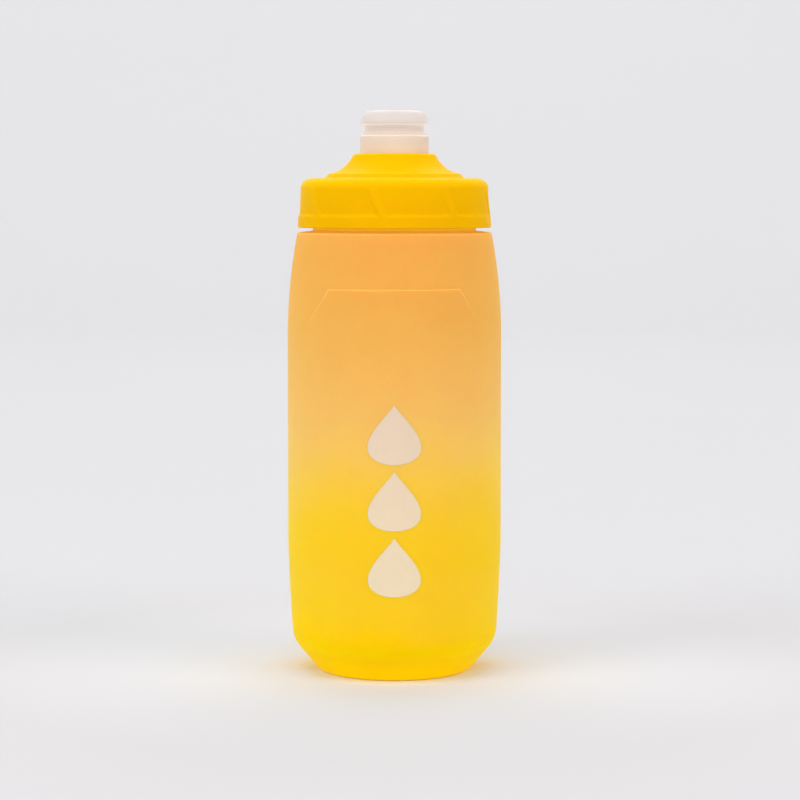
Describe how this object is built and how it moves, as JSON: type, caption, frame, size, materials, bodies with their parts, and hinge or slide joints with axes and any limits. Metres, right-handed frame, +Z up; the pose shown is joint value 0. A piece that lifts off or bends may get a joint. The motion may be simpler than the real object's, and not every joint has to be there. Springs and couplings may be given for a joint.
{
  "type": "water bottle",
  "caption": "Cylindrical squeeze bottle for a bicycle cage with a grooved screw cap and a pull-up drinking spout.",
  "frame": {"origin": "centre of the foot ring, on the surface the bottle stands on", "axes": "+Z up along the bottle's axis, -Y is the front with the printed column"},
  "size_m": [0.0734, 0.0734, 0.1924],
  "materials": {
    "frosted_bottle": "frosted translucent polyethylene, orange at the top fading to yellow at the bottom",
    "yellow_cap": "satin moulded polypropylene, warm yellow",
    "white_silicone": "soft matt silicone",
    "white_plastic": "satin moulded plastic",
    "milky_plastic": "milky translucent moulded plastic",
    "milky_silicone": "milky translucent soft silicone"
  },
  "bodies": {
    "bottle": {"bottle_body": "frosted_bottle"},
    "cap_seal": {"cap_gasket": "white_silicone"},
    "cap": {"cap_shell": "yellow_cap", "valve_post": "white_plastic", "post_seal": "white_silicone"},
    "spout": {"spout_carrier": "milky_plastic", "carrier_seal": "white_silicone", "bite_valve": "milky_silicone"}
  },
  "joints": [
    {"name": "cap_lift", "type": "slide", "parent": "bottle", "child": "cap_seal", "axis": [0, 0, 1], "range_m": [0, 0.018]},
    {"name": "cap_turn", "type": "hinge", "parent": "cap_seal", "child": "cap", "pos_m": [0, 0, 0.16], "axis": [0, 0, 1], "range_deg": [0, 1080]},
    {"name": "spout_slide", "type": "slide", "parent": "cap", "child": "spout", "axis": [0, 0, 1], "range_m": [-0.0062, 0]}
  ],
  "couplings": [
    {"joint": "cap_lift", "follows": "cap_turn", "m_per_rad": 0.00095493}
  ]
}
